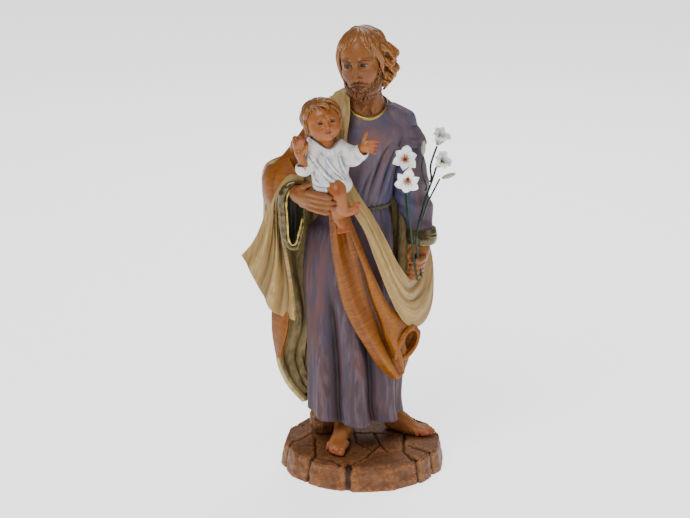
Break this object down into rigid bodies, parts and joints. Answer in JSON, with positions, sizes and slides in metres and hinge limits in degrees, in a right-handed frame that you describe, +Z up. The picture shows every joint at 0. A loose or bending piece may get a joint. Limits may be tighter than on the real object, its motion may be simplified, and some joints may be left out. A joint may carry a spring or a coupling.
{
  "type": "saint joseph statue",
  "caption": "Devotional figure of Saint Joseph in tunic and mantle with the Child on his arm and a lily sprig in hand, on a round base of stone slabs.",
  "frame": {"origin": "centre of the base's underside", "axes": "+Z up along the figure's height; the figure faces -Y, with +X to the viewer's right"},
  "size_m": [0.14, 0.1118, 0.2984],
  "materials": {
    "painted_figure": "hand-painted moulded resin, satin varnish",
    "painted_stone": "hand-painted moulded resin, stone brown with a dark wash",
    "lily_green": "green lacquered wire",
    "lily_white": "moulded white petals"
  },
  "bodies": {
    "root": {"saint_joseph": "painted_figure", "stone_base": "painted_stone", "lily_stem_front": "lily_green", "lily_stem_front_high": "lily_green", "lily_stem_back": "lily_green", "lily_stem_back_high": "lily_green", "lily_stem_side": "lily_green", "lily_stem_top": "lily_green", "lily_blossom_lower": "lily_white", "lily_blossom_upper": "lily_white", "lily_blossom_back_low": "lily_white", "lily_blossom_back_high": "lily_white", "lily_bud_side": "lily_white", "lily_bud_top": "lily_white"}
  },
  "joints": []
}
